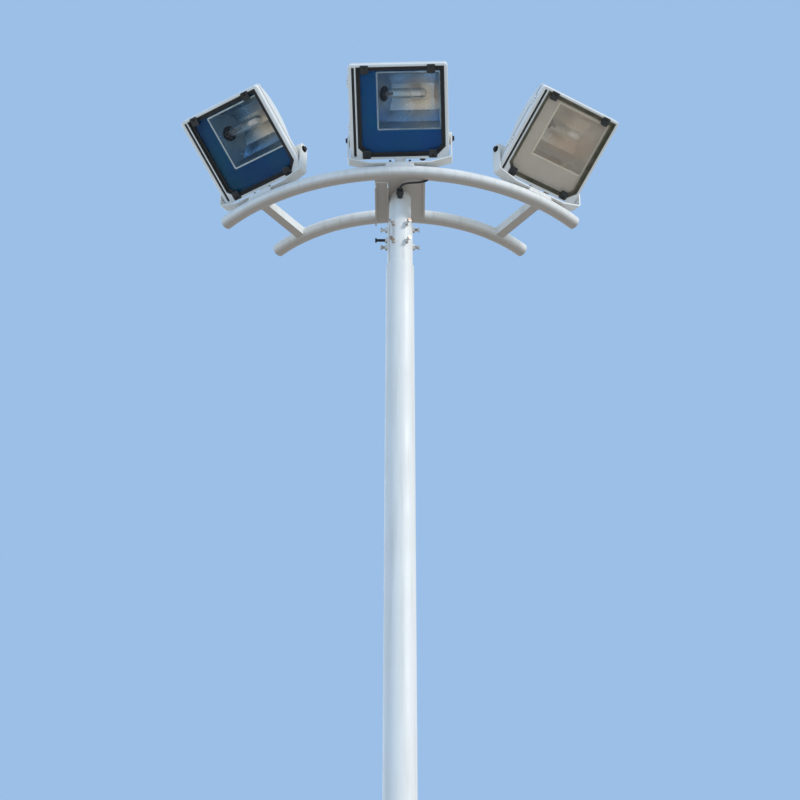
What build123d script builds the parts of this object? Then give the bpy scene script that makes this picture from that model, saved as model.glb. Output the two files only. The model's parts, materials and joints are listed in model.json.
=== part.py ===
from build123d import *
import os
from math import cos, radians, sin, sqrt

# Floodlight mast for a court or yard: a tapered round steel mast on a bolted base flange,
# a headframe of two curved tubes, and three metal-halide floodlights tilting on yokes.
# Millimetres, +Z up. The origin is the centre of the base flange's underside.
# The floodlights look towards -Y, so +X is on the right of somebody who faces them.

# Mast
mast_height = 7302.0
mast_base_diameter = 150.0
mast_top_diameter = 118.0
mast_wall = 4.0
mast_top_ring = 8.0

# Base flange and its gussets
flange_side = 340.0
flange_thickness = 18.0
flange_corner_radius = 20.0
flange_bolt_spacing = 250.0
flange_bolt_hole = 26.0
cable_entry_diameter = 44.0
cable_entry_y = 38.0
gusset_height = 130.0
gusset_reach = 70.0
gusset_thickness = 8.0
gusset_toe = 15.0
gusset_count = 4

# Hand hole near the foot of the mast
hand_hole_z = 700.0
hand_hole_height = 280.0
hand_hole_width = 80.0
cover_lap = 14.0
cover_thickness = 3.0

# Socket of the headframe: a stub tube in a collar that stands on the mast
stub_diameter = 94.0
stub_wall = 5.0
stub_exposed = 170.0
stub_insertion = 110.0
collar_diameter = 108.0
collar_height = 228.0
slip_clearance = 0.2
screw_diameter = 12.0
screw_head_radius = 10.0
screw_head_height = 7.0
screw_projection = 13.0
screw_hole_clearance = 0.2
nut_radius = 13.0
nut_height = 9.0
screw_level_upper = 26.0
screw_level_lower = 120.0
screws_per_level = 6
locking_bolt_level = 82.0
locking_bolt_projection = 36.0

# Headframe
tube_diameter = 60.0
tube_wall = 3.0
arc_radius = 1018.0
arc_spacing = 294.0
arc_span = 97.0
tie_angle = 36.0
tie_side = 40.0
tie_wall = 3.0
saddle_width = 215.0
saddle_thickness = 8.0
saddle_drop = 16.0
saddle_lip = 12.0
channel_width = 58.0
channel_depth = 34.0
channel_wall = 6.0
channel_front_gap = 2.0

# Lead from the mast into the front tube
gland_diameter = 24.0
gland_length = 46.0
gland_drop = 50.0
gland_nut_margin = 4.0
lead_diameter = 9.0
lead_hole_clearance = 1.0
lead_bend_share = 0.45

# Floodlights: one row of places on the front tube, the same lamp on each
lamp_names = ["left", "middle", "right"]
lamp_angles = [-36.0, 0.0, 36.0]
lamp_pans = [0.0, -2.0, 0.0]
lamp_tilts = [54.5, 54.5, 54.5]

# Pad and yoke under each floodlight
pad_length = 120.0
pad_width = 44.0
pad_corner_radius = 4.0
pad_top = 36.0
pad_depth = 24.0
yoke_rise = 148.0
yoke_thickness = 6.0
yoke_width = 45.0
yoke_base_length = 260.0
yoke_shoulder = 28.0
yoke_bend_radius = 14.0
yoke_end_radius = 16.0
yoke_side_gap = 7.0
pivot_bolt_diameter = 12.0
pivot_hole_clearance = 0.5
pivot_washer_radius = 15.0
pivot_washer_thickness = 2.0
pivot_head_radius = 10.5
pivot_head_height = 7.0
pivot_running_gap = 0.4

# Floodlight housing, in its own frame: origin on the tilt axis, x across, y up the face, z outwards
face_above_pivot = 140.0
face_before_pivot = 75.0
door_overlap_side = 6.0
door_overlap_end = 4.0
door_depth = 22.0
door_rim_left = 38.0
door_rim_right = 19.0
door_rim_end = 16.0
door_corner_radius = 16.0
door_opening_cut = 38.0
door_edge_chamfer = 3.0
groove_from_edge = 15.0
groove_width = 12.0
groove_depth = 12.0
groove_end = 12.0
hinge_spacing = 200.0
hinge_above_centre = 30.0
hinge_length = 44.0
hinge_radius = 6.5
glass_thickness = 4.0
glass_setback = 9.0
glass_rebate = 6.0
glass_clearance = 0.2
latch_width = 47.0
latch_drop = 12.0
latch_depth = 16.0
latch_setback = 2.0
clip_width = 36.0
clip_height = 38.0
clip_inset = 4.0
clip_thickness = 6.0
clip_corner_radius = 6.0
clip_chamfer = 1.5
clip_offset = 142.0
housing_width = 412.0
housing_end_draft = 52.0
housing_height = 406.0
housing_wall = 4.0
drum_radius = 148.0
gear_depth = 83.0
gear_corner_radius = 22.0
neck_radius = 26.0
housing_end_radius = 14.0
flange_behind_door = 4.0
housing_flange_depth = 9.0
boss_radius = 28.0
cover_margin_side = 48.0
cover_margin_end = 10.0
gear_cover_rise = 3.0
fin_count = 7
fin_thickness = 3.0
fin_rise = 9.0
fin_draft = 3.0
entry_boss_radius = 17.0
entry_boss_rise = 6.0
entry_boss_x = 96.0

# Inside the floodlight
mask_thickness = 1.0
mask_margin = 4.5
mask_lip = 3.0
window_margin_left = 116.0
window_margin_right = 28.0
window_margin_top = 36.0
window_margin_foot = 13.0
window_corner_radius = 5.0
reflector_clearance = 27.0
reflector_left_splay = 60.0
reflector_right_splay = 26.0
reflector_sheet = 1.2
bulb_above_drum_axis = 8.0
bulb_setback = 51.0
bulb_diameter = 46.0
bulb_neck_diameter = 36.0
bulb_glass = 1.2
bulb_length = 176.0
bulb_taper = 24.0
holder_diameter = 50.0
holder_length = 74.0
holder_projection = 8.0
holder_clearance = 0.3

# Places worked out from the sizes above
collar_top_z = mast_height + collar_height
arc_z = collar_top_z + stub_exposed
arc_centre_y = arc_radius - arc_spacing / 2
inner_arc_radius = arc_radius - arc_spacing
tube_radius = tube_diameter / 2
saddle_top_z = arc_z - saddle_drop
saddle_underside_z = saddle_top_z - saddle_thickness
door_width = housing_width + 2 * door_overlap_side
door_height = housing_height + 2 * door_overlap_end
door_left = -door_width / 2
door_bottom_y = face_above_pivot - door_height / 2
yoke_half_span = door_width / 2 + yoke_side_gap + yoke_thickness / 2
door_back_z = face_before_pivot - door_depth
housing_top_y = face_above_pivot + housing_height / 2
housing_bottom_y = face_above_pivot - housing_height / 2
drum_axis_y = housing_top_y - drum_radius
gear_back_z = door_back_z - gear_depth
window_left = -housing_width / 2 + window_margin_left
window_right = housing_width / 2 - window_margin_right
window_top = drum_axis_y + drum_radius - window_margin_top
window_bottom = drum_axis_y - drum_radius + window_margin_foot
reflector_depth = drum_radius - housing_wall - mask_thickness - reflector_clearance
bulb_height = drum_axis_y + bulb_above_drum_axis
holder_front = window_left + reflector_left_splay * bulb_setback / reflector_depth + holder_projection
bulb_end = holder_front + bulb_length


def save(solid, node):
    """Label one sub-part and write it as its own STEP file."""
    solid.label = node
    export_step(solid, f"parts/{node}.step")


def outward(angle):
    """Horizontal direction from the arcs' centre, at an angle from the front towards +X."""
    return Vector(sin(radians(angle)), -cos(radians(angle)), 0)


def along(angle):
    """Horizontal direction along the arcs, towards +X, at the same angle."""
    return Vector(cos(radians(angle)), sin(radians(angle)), 0)


def arc_point(radius, angle, z):
    """A point above or on an arc of the headframe."""
    return Vector(0, arc_centre_y, z) + outward(angle) * radius


def mast_radius(z):
    """Outer radius of the tapered mast at a height."""
    return (mast_base_diameter + (mast_top_diameter - mast_base_diameter) * z / mast_height) / 2


os.makedirs("parts", exist_ok=True)

# Mast shaft: a tapered tube with a ring closing its top round the stub, and the hand hole
foot_radius = mast_radius(flange_thickness)
top_radius = mast_radius(mast_height)
ring_bore_radius = stub_diameter / 2 + slip_clearance
with BuildPart() as mast_shaft:
    with BuildSketch(Plane.XZ):
        with BuildLine():
            Polyline(
                (foot_radius - mast_wall, flange_thickness),
                (foot_radius, flange_thickness),
                (top_radius, mast_height),
                (ring_bore_radius, mast_height),
                (ring_bore_radius, mast_height - mast_top_ring),
                (top_radius - mast_wall, mast_height - mast_top_ring),
                close=True,
            )
        make_face()
    revolve(axis=Axis.Z)
    with BuildSketch(Plane.XZ):
        with Locations((0, hand_hole_z)):
            SlotOverall(hand_hole_height, hand_hole_width, rotation=90)
    extrude(amount=mast_base_diameter, mode=Mode.SUBTRACT)
save(mast_shaft.part, "mast_shaft")

# Hand hole cover: a curved plate that laps over the hole and follows the mast
with BuildPart() as hand_hole_cover:
    with BuildSketch(Plane.XZ):
        with BuildLine():
            Polyline(
                (foot_radius, flange_thickness),
                (foot_radius + cover_thickness, flange_thickness),
                (top_radius + cover_thickness, mast_height),
                (top_radius, mast_height),
                close=True,
            )
        make_face()
    revolve(axis=Axis.Z)
    with BuildSketch(Plane.XZ):
        with Locations((0, hand_hole_z)):
            SlotOverall(hand_hole_height + 2 * cover_lap, hand_hole_width + 2 * cover_lap, rotation=90)
    extrude(amount=mast_base_diameter, mode=Mode.INTERSECT)
save(hand_hole_cover.part, "hand_hole_cover")

# Base flange, with its anchor holes and the cable entry
with BuildPart() as base_flange:
    with BuildSketch():
        RectangleRounded(flange_side, flange_side, flange_corner_radius)
        with Locations((0, cable_entry_y)):
            Circle(cable_entry_diameter / 2, mode=Mode.SUBTRACT)
        with GridLocations(flange_bolt_spacing, flange_bolt_spacing, 2, 2):
            Circle(flange_bolt_hole / 2, mode=Mode.SUBTRACT)
    extrude(amount=flange_thickness)
save(base_flange.part, "base_flange")

# Gussets between the mast and the flange, cut to the mast's taper
gusset_end = foot_radius + gusset_reach
gusset_top_z = flange_thickness + gusset_height
with BuildPart() as base_gussets:
    with BuildSketch(Plane.XZ):
        with BuildLine():
            Polyline(
                (foot_radius, flange_thickness),
                (gusset_end, flange_thickness),
                (gusset_end, flange_thickness + gusset_toe),
                (mast_radius(gusset_top_z) + gusset_toe, gusset_top_z),
                (mast_radius(gusset_top_z), gusset_top_z),
                close=True,
            )
        make_face()
    one_gusset = extrude(amount=gusset_thickness / 2, both=True, mode=Mode.PRIVATE)
    with PolarLocations(0, gusset_count):
        add(one_gusset)
    with BuildSketch(Plane.XZ):
        with BuildLine():
            Polyline((0, 0), (mast_radius(0), 0), (top_radius, mast_height), (0, mast_height), close=True)
        make_face()
    revolve(axis=Axis.Z, mode=Mode.SUBTRACT)
save(base_gussets.part, "base_gussets")

# Headframe tubes: arcs about one upright axis behind the mast, cut square at their ends
arc_axis = Axis((0, arc_centre_y, arc_z), (0, 0, 1))
arc_start = Plane(origin=(0, arc_centre_y, arc_z), x_dir=outward(-arc_span / 2), z_dir=along(-arc_span / 2))


def headframe_tube(radius, wall):
    """A bent tube of the headframe, or its solid envelope where the wall is its whole radius."""
    with BuildPart() as tube:
        with BuildSketch(arc_start):
            with Locations((radius, 0)):
                Circle(tube_radius)
                if wall < tube_radius:
                    Circle(tube_radius - wall, mode=Mode.SUBTRACT)
        revolve(axis=arc_axis, revolution_arc=arc_span)
    return tube.part


outer_arc_envelope = headframe_tube(arc_radius, tube_radius)
inner_arc_envelope = headframe_tube(inner_arc_radius, tube_radius)
save(headframe_tube(arc_radius, tube_wall), "outer_arc")
save(headframe_tube(inner_arc_radius, tube_wall), "inner_arc")

# Ties: square tubes that join the two arcs, coped to them
with BuildPart() as arc_ties:
    for angle in (-tie_angle, tie_angle):
        tie_start = arc_point(inner_arc_radius, angle, arc_z)
        with BuildSketch(Plane(origin=tie_start, x_dir=along(angle), z_dir=outward(angle))):
            Rectangle(tie_side, tie_side)
            Rectangle(tie_side - 2 * tie_wall, tie_side - 2 * tie_wall, mode=Mode.SUBTRACT)
        extrude(amount=arc_spacing)
    add(outer_arc_envelope, mode=Mode.SUBTRACT)
    add(inner_arc_envelope, mode=Mode.SUBTRACT)
save(arc_ties.part, "arc_ties")

# Saddle plate between the tubes, with a turned-down lip on its right edge
with BuildPart() as saddle_plate:
    with BuildSketch(Plane.XY.offset(saddle_underside_z)):
        Rectangle(saddle_width, arc_spacing)
    extrude(amount=saddle_thickness)
    with BuildSketch(Plane.XY.offset(saddle_underside_z)):
        with Locations((saddle_width / 2 - saddle_thickness / 2, 0)):
            Rectangle(saddle_thickness, arc_spacing - tube_diameter)
    extrude(amount=-saddle_lip)
    add(outer_arc_envelope, mode=Mode.SUBTRACT)
    add(inner_arc_envelope, mode=Mode.SUBTRACT)
save(saddle_plate.part, "saddle_plate")

# Channel under the saddle's left side, open downwards, whose legs run on below the rear tube
channel_x = -saddle_width / 2 + channel_width / 2
channel_front_y = -arc_spacing / 2 + tube_radius + channel_front_gap
channel_back_y = arc_spacing / 2
channel_length = channel_back_y - channel_front_y
with BuildPart() as saddle_channel:
    with BuildSketch(Plane.XY.offset(saddle_underside_z)):
        with Locations((channel_x, (channel_front_y + channel_back_y) / 2)):
            Rectangle(channel_width, channel_length)
    extrude(amount=-channel_depth)
    with BuildSketch(Plane.XY.offset(saddle_underside_z - channel_wall)):
        with Locations((channel_x, (channel_front_y + channel_back_y) / 2)):
            Rectangle(channel_width - 2 * channel_wall, channel_length)
    extrude(amount=-channel_depth, mode=Mode.SUBTRACT)
    add(inner_arc_envelope, mode=Mode.SUBTRACT)
save(saddle_channel.part, "saddle_channel")

# Stub tube, welded under the saddle plate and let into the mast
stub_length = stub_exposed - saddle_drop - saddle_thickness + collar_height + stub_insertion
gland_z = arc_z - gland_drop
with BuildPart() as head_stub:
    with BuildSketch(Plane.XY.offset(saddle_underside_z)):
        Circle(stub_diameter / 2)
        Circle(stub_diameter / 2 - stub_wall, mode=Mode.SUBTRACT)
    extrude(amount=-stub_length)
    with BuildSketch(Plane.XZ):
        with Locations((0, gland_z)):
            Circle(lead_diameter / 2 + lead_hole_clearance)
    extrude(amount=stub_diameter, mode=Mode.SUBTRACT)
save(head_stub.part, "head_stub")

# Collar round the stub, with a nut welded over each set screw's hole
screw_levels = [collar_top_z - screw_level_upper, collar_top_z - screw_level_lower]
screw_angles = [(n + 0.5) * 360 / screws_per_level for n in range(screws_per_level)]
screw_seats = [(level, angle) for level in screw_levels for angle in screw_angles]
locking_seat = (collar_top_z - locking_bolt_level, -90.0)
collar_radius = collar_diameter / 2
with BuildPart() as head_collar:
    with BuildSketch(Plane.XY.offset(mast_height)):
        Circle(collar_radius)
    extrude(amount=collar_height)
    for level, angle in screw_seats + [locking_seat]:
        with BuildSketch(Plane(origin=(0, 0, level), x_dir=along(angle), z_dir=outward(angle))):
            RegularPolygon(nut_radius, 6)
        extrude(amount=collar_radius + nut_height)
    with BuildSketch(Plane.XY.offset(mast_height)):
        Circle(stub_diameter / 2 + slip_clearance)
    extrude(amount=collar_height, mode=Mode.SUBTRACT)
    for level, angle in screw_seats + [locking_seat]:
        with BuildSketch(Plane(origin=(0, 0, level), x_dir=along(angle), z_dir=outward(angle))):
            Circle(screw_diameter / 2 + screw_hole_clearance)
        extrude(amount=collar_radius + nut_height, mode=Mode.SUBTRACT)
save(head_collar.part, "head_collar")

# Set screws that grip the stub, and one longer locking bolt on the left
with BuildPart() as collar_screws:
    for level, angle in screw_seats + [locking_seat]:
        projection = locking_bolt_projection if (level, angle) == locking_seat else screw_projection
        screw_foot = Vector(0, 0, level) + outward(angle) * (stub_diameter / 2 + slip_clearance)
        head_seat = collar_radius + nut_height + projection - stub_diameter / 2 - slip_clearance
        screw_plane = Plane(origin=screw_foot, x_dir=along(angle), z_dir=outward(angle))
        with BuildSketch(screw_plane):
            Circle(screw_diameter / 2)
        extrude(amount=head_seat)
        with BuildSketch(screw_plane.offset(head_seat)):
            RegularPolygon(screw_head_radius, 6)
        extrude(amount=screw_head_height)
save(collar_screws.part, "collar_screws")

# Cable gland on the front of the stub, coped to it
stub_radius = stub_diameter / 2
with BuildPart() as cable_gland:
    with BuildSketch(Plane.XZ):
        with Locations((0, gland_z)):
            Circle(gland_diameter / 2)
    extrude(amount=stub_radius + gland_length)
    with BuildSketch(Plane.XZ.offset(stub_radius + gland_length / 3)):
        with Locations((0, gland_z)):
            RegularPolygon(gland_diameter / 2 + gland_nut_margin, 6)
    extrude(amount=gland_length / 3)
    with BuildSketch(Plane.XY.offset(gland_z - gland_diameter)):
        Circle(stub_radius)
    extrude(amount=2 * gland_diameter, mode=Mode.SUBTRACT)
save(cable_gland.part, "cable_gland")

# Supply lead: out of the gland, round to the right and up into the front tube
lead_exit_y = -(stub_radius + gland_length)
lead_points = [
    Vector(0, lead_exit_y, gland_z),
    Vector(0, lead_exit_y - 18, gland_z),
    Vector(12, lead_exit_y - 37, gland_z - 1),
    Vector(36, lead_exit_y - 46, gland_z - 1),
    Vector(64, lead_exit_y - 45, gland_z + 2),
    Vector(90, lead_exit_y - 39, gland_z + 9),
    Vector(112, lead_exit_y - 34, gland_z + 21),
]
lead_turns = []
lead_radii = []
for before, here, after in zip(lead_points, lead_points[1:], lead_points[2:]):
    turn = radians((here - before).get_angle(after - here))
    shorter_run = min((here - before).length, (after - here).length)
    lead_turns.append(turn)
    lead_radii.append(lead_bend_share * shorter_run / (sin(turn / 2) / cos(turn / 2)))
print("supply lead radii:", [round(radius, 1) for radius in lead_radii])
with BuildPart() as supply_lead:
    with BuildLine():
        FilletPolyline(*lead_points, radius=lead_radii)
    with BuildSketch(Plane(origin=lead_points[0], z_dir=lead_points[1] - lead_points[0])):
        Circle(lead_diameter / 2)
    sweep()
    add(outer_arc_envelope, mode=Mode.SUBTRACT)
save(supply_lead.part, "supply_lead")

# Pads on top of the front tube, one under each yoke, coped to the tube
pad_z = arc_z + pad_top
with BuildPart() as lamp_pads:
    for angle, pan in zip(lamp_angles, lamp_pans):
        pad_centre = arc_point(arc_radius, angle, pad_z)
        with BuildSketch(Plane(origin=pad_centre, x_dir=along(angle + pan), z_dir=(0, 0, 1))):
            RectangleRounded(pad_length, pad_width, pad_corner_radius)
        extrude(amount=-pad_depth)
    add(outer_arc_envelope, mode=Mode.SUBTRACT)
save(lamp_pads.part, "lamp_pads")

# Yoke, in a frame with its origin on the tilt axis and z upright: one bent flat bar, whose two
# ends are rounded by an upright profile that runs on below the foot
yoke_foot_z = -yoke_rise + yoke_thickness / 2
yoke_top_z = (yoke_width + yoke_thickness) / 2
yoke_profile_height = yoke_top_z + yoke_rise + 2 * yoke_end_radius
with BuildPart() as yoke:
    with BuildSketch(Plane.XZ):
        with BuildLine():
            FilletPolyline(
                (-yoke_half_span, yoke_width / 2),
                (-yoke_half_span, yoke_foot_z + yoke_shoulder),
                (-yoke_base_length / 2, yoke_foot_z),
                (yoke_base_length / 2, yoke_foot_z),
                (yoke_half_span, yoke_foot_z + yoke_shoulder),
                (yoke_half_span, yoke_width / 2),
                radius=yoke_bend_radius,
            )
            offset(amount=yoke_thickness / 2, side=Side.BOTH, kind=Kind.ARC)
        make_face()
    extrude(amount=yoke_width / 2, both=True)
    with BuildSketch(Plane.YZ):
        with Locations((0, yoke_top_z - yoke_profile_height / 2)):
            RectangleRounded(yoke_width, yoke_profile_height, yoke_end_radius)
    extrude(amount=2 * yoke_half_span, both=True, mode=Mode.INTERSECT)
    with BuildSketch(Plane.YZ):
        Circle(pivot_bolt_diameter / 2 + pivot_hole_clearance)
    extrude(amount=yoke_half_span + yoke_thickness, both=True, mode=Mode.SUBTRACT)


def housing_form(inset):
    """The housing's outer form, or the hollow inside it for an inset of one wall.

    Seen from the side it is a half drum over the reflector and a shallower gear box below it,
    and its end walls draw in towards the back and meet the drum in a fillet.
    """
    radius = drum_radius - inset
    back_z = gear_back_z + inset
    reach = sqrt(radius**2 - (door_back_z - back_z) ** 2)
    bottom_y = housing_bottom_y + inset
    half_front = housing_width / 2 - inset
    half_back = half_front - housing_end_draft
    with BuildPart() as form:
        with BuildSketch(Plane.YZ) as side:
            with BuildLine():
                crown = ThreePointArc(
                    (drum_axis_y + radius, door_back_z),
                    (drum_axis_y, door_back_z - radius),
                    (drum_axis_y - reach, back_z),
                )
                Polyline(crown @ 1, (bottom_y, back_z), (bottom_y, door_back_z), crown @ 0)
            make_face()
            fillet(side.vertices().sort_by_distance((drum_axis_y - reach, back_z))[0], neck_radius + inset)
            fillet(side.vertices().sort_by_distance((bottom_y, back_z))[0], gear_corner_radius - inset)
        extrude(amount=housing_width, both=True)
        with BuildSketch(Plane.XZ) as plan:
            with BuildLine():
                Polyline(
                    (-half_front, door_back_z),
                    (half_front, door_back_z),
                    (half_back, door_back_z - drum_radius),
                    (-half_back, door_back_z - drum_radius),
                    close=True,
                )
            make_face()
        extrude(amount=2 * housing_height, both=True, mode=Mode.INTERSECT)
        end_walls = form.faces().filter_by(lambda face: abs(face.normal_at().X) > 0.9)
        end_edges = end_walls.edges().filter_by(lambda edge: edge.center().Z < door_back_z - 1)
        fillet(end_edges, housing_end_radius - inset)
    return form.part


# Floodlight housing: a hollow casting with a flange behind the door, a finned cover over the
# control gear, a boss for the lead's entry and a boss on each side for the pivot bolt
boss_face = yoke_half_span - yoke_thickness / 2 - pivot_running_gap
boss_root = housing_width / 2 - housing_end_draft
wall_at_pivot = housing_width / 2 - housing_end_draft * door_back_z / drum_radius
bolt_foot = wall_at_pivot + housing_wall / 2
flange_front_z = door_back_z - flange_behind_door
gear_flat_bottom = housing_bottom_y + gear_corner_radius
gear_flat_top = drum_axis_y - sqrt(drum_radius**2 - gear_depth**2) - neck_radius
cover_width = housing_width - 2 * cover_margin_side
cover_height = gear_flat_top - gear_flat_bottom
cover_y = (gear_flat_top + gear_flat_bottom) / 2
fin_pitch = (cover_width - 4 * cover_margin_end) / (fin_count - 1)
with BuildPart() as housing:
    add(housing_form(0))
    with BuildSketch(Plane.XY.offset(flange_front_z)):
        with Locations((0, face_above_pivot)):
            RectangleRounded(door_width, door_height, door_corner_radius)
    extrude(amount=-housing_flange_depth)
    with BuildSketch(Plane.XY.offset(gear_back_z)):
        with Locations((0, cover_y)):
            RectangleRounded(cover_width, cover_height, cover_margin_end)
    extrude(amount=-gear_cover_rise)
    with BuildSketch(Plane.XY.offset(gear_back_z - gear_cover_rise)):
        with Locations((0, cover_y)):
            with GridLocations(fin_pitch, 0, fin_count, 1):
                Rectangle(fin_thickness, cover_height - 2 * cover_margin_end)
    extrude(amount=-fin_rise, taper=fin_draft)
    with BuildSketch(Plane.XZ.offset(-housing_bottom_y)):
        with Locations((entry_boss_x, door_back_z - gear_depth / 2)):
            Circle(entry_boss_radius)
    extrude(amount=entry_boss_rise)
    with BuildSketch(Plane.YZ.offset(boss_root)):
        Circle(boss_radius)
    extrude(amount=boss_face - boss_root)
    with BuildSketch(Plane.YZ.offset(-boss_root)):
        Circle(boss_radius)
    extrude(amount=boss_root - boss_face)
    add(housing_form(housing_wall), mode=Mode.SUBTRACT)
    with BuildSketch(Plane.YZ.offset(bolt_foot)):
        Circle(pivot_bolt_diameter / 2 + screw_hole_clearance)
    extrude(amount=boss_face, mode=Mode.SUBTRACT)
    with BuildSketch(Plane.YZ.offset(-bolt_foot)):
        Circle(pivot_bolt_diameter / 2 + screw_hole_clearance)
    extrude(amount=-boss_face, mode=Mode.SUBTRACT)

# Door frame: a rebated rim that holds the glass, its opening cut across at the two lower corners.
# Its left side is wider: a groove runs along the hinge rail and two hinge barrels stand on the
# edge. A latch hangs at the middle of its foot
opening_width = door_width - door_rim_left - door_rim_right
opening_height = door_height - 2 * door_rim_end
opening_x = (door_rim_left - door_rim_right) / 2
hinge_centre = face_above_pivot + hinge_above_centre
with BuildPart() as door_frame:
    with BuildSketch(Plane.XY.offset(door_back_z)):
        with Locations((0, face_above_pivot)):
            RectangleRounded(door_width, door_height, door_corner_radius)
    extrude(amount=door_depth)
    chamfer(door_frame.faces().sort_by(Axis.Z)[-1].edges(), door_edge_chamfer)
    for hinge_y in (hinge_centre - hinge_spacing / 2, hinge_centre + hinge_spacing / 2):
        with BuildSketch(Plane.XZ.offset(-hinge_y - hinge_length / 2)):
            with Locations((door_left, door_back_z + hinge_radius)):
                Circle(hinge_radius)
        extrude(amount=hinge_length)
    with BuildSketch(Plane.XY.offset(door_back_z)) as opening:
        with Locations((opening_x, face_above_pivot)):
            Rectangle(opening_width, opening_height)
        chamfer(opening.vertices().group_by(Axis.Y)[0], door_opening_cut)
    extrude(amount=door_depth, mode=Mode.SUBTRACT)
    with BuildSketch(Plane.XY.offset(door_back_z)):
        with Locations((opening_x, face_above_pivot)):
            Rectangle(opening_width + 2 * glass_rebate, opening_height + 2 * glass_rebate)
    extrude(amount=door_depth - glass_setback, mode=Mode.SUBTRACT)
    with BuildSketch(Plane.XY.offset(face_before_pivot)):
        with Locations((door_left + groove_from_edge + groove_width / 2, face_above_pivot)):
            SlotOverall(door_height - 2 * groove_end, groove_width, rotation=90)
    extrude(amount=-groove_depth, mode=Mode.SUBTRACT)
    with BuildSketch(Plane.XY.offset(face_before_pivot - latch_setback)):
        with Locations((0, door_bottom_y - latch_drop / 2)):
            Rectangle(latch_width, latch_drop)
    extrude(amount=-latch_depth)

# Cover glass, held in the rebate
glass_fit = 2 * (glass_rebate - glass_clearance)
with BuildPart() as cover_glass:
    with BuildSketch(Plane.XY.offset(face_before_pivot - glass_setback)):
        with Locations((opening_x, face_above_pivot)):
            Rectangle(opening_width + glass_fit, opening_height + glass_fit)
    extrude(amount=-glass_thickness)

# Clips on the door's top and bottom rims, near its corners, that reach over the glass
with BuildPart() as corner_clips:
    with BuildSketch(Plane.XY.offset(face_before_pivot)):
        with Locations((0, face_above_pivot)):
            with GridLocations(2 * clip_offset, door_height - 2 * clip_inset - clip_height, 2, 2):
                RectangleRounded(clip_width, clip_height, clip_corner_radius)
    extrude(amount=clip_thickness)
    chamfer(corner_clips.faces().filter_by(Axis.Z).group_by(Axis.Z)[-1].edges(), clip_chamfer)

# Dark masking plate behind the glass, with the window cut towards its upper right corner
mask_half_width = housing_width / 2 - housing_wall - mask_margin / 2
mask_top = housing_top_y - housing_wall - mask_margin
mask_bottom = housing_bottom_y + housing_wall + mask_margin
window_x = (window_left + window_right) / 2
window_y = (window_bottom + window_top) / 2
window_width = window_right - window_left
window_height = window_top - window_bottom
with BuildPart() as mask_plate:
    with BuildSketch(Plane.XY.offset(door_back_z)):
        with Locations((0, (mask_top + mask_bottom) / 2)):
            Rectangle(2 * mask_half_width, mask_top - mask_bottom)
        with Locations((window_x, window_y)):
            RectangleRounded(
                window_width - 2 * mask_lip,
                window_height - 2 * mask_lip,
                window_corner_radius,
                mode=Mode.SUBTRACT,
            )
    extrude(amount=-mask_thickness)

# Reflector: a trough of bent sheet with flat facets, and a splayed wall at each end
reflector_front_z = door_back_z - mask_thickness
reflector_back_z = reflector_front_z - reflector_depth
facet_heights = [0.0, 0.075, 0.24, 0.47, 0.70, 0.89, 0.98, 1.0]
facet_depths = [0.0, 0.48, 0.83, 1.0, 0.96, 0.72, 0.36, 0.0]
with BuildPart() as reflector:
    with BuildSketch(Plane.YZ):
        with BuildLine():
            Polyline(
                *[
                    (
                        window_bottom + share * window_height,
                        reflector_front_z - depth * reflector_depth,
                    )
                    for share, depth in zip(facet_heights, facet_depths)
                ],
                close=True,
            )
        make_face()
    extrude(amount=door_width / 2, both=True)
    with BuildSketch(Plane.XZ):
        with BuildLine():
            Polyline(
                (window_left, reflector_front_z),
                (window_right, reflector_front_z),
                (window_right - reflector_right_splay, reflector_back_z),
                (window_left + reflector_left_splay, reflector_back_z),
                close=True,
            )
        make_face()
    extrude(amount=2 * door_height, both=True, mode=Mode.INTERSECT)
    offset(amount=-reflector_sheet, openings=reflector.faces().sort_by(Axis.Z)[-1])
    with BuildSketch(Plane.YZ.offset(window_left)):
        with Locations((bulb_height, door_back_z - bulb_setback)):
            Circle(holder_diameter / 2 + holder_clearance)
    extrude(amount=reflector_left_splay, mode=Mode.SUBTRACT)

# Lamp holder in the reflector's left wall, and the bulb that it carries
bulb_z = door_back_z - bulb_setback
with BuildPart() as lamp_holder:
    with BuildSketch(Plane.YZ.offset(holder_front)):
        with Locations((bulb_height, bulb_z)):
            Circle(holder_diameter / 2)
    extrude(amount=-holder_length)
    with BuildSketch(Plane.YZ.offset(holder_front)):
        with Locations((bulb_height, bulb_z)):
            Circle(bulb_neck_diameter / 2 + holder_clearance)
    extrude(amount=-holder_length / 3, mode=Mode.SUBTRACT)

bulb_foot = holder_front - holder_length / 3
bulb_shoulder = holder_front + bulb_taper
bulb_place = Plane(origin=(0, bulb_height, bulb_z), x_dir=(1, 0, 0), z_dir=(0, 0, 1))


def bulb_form(inset):
    """The bulb's envelope of revolution, or the hollow inside it for an inset of one wall."""
    radius = bulb_diameter / 2 - inset
    neck = bulb_neck_diameter / 2 - inset
    tip = bulb_end - inset
    with BuildPart() as form:
        with BuildSketch(bulb_place):
            with BuildLine():
                Polyline(
                    (tip, 0),
                    (bulb_foot, 0),
                    (bulb_foot, neck),
                    (holder_front, neck),
                    (bulb_shoulder, radius),
                    (tip - radius, radius),
                )
                RadiusArc((tip - radius, radius), (tip, 0), radius)
            make_face()
        revolve(axis=Axis((0, bulb_height, bulb_z), (1, 0, 0)))
    return form.part


with BuildPart() as bulb:
    add(bulb_form(0))
    add(bulb_form(bulb_glass), mode=Mode.SUBTRACT)

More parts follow.
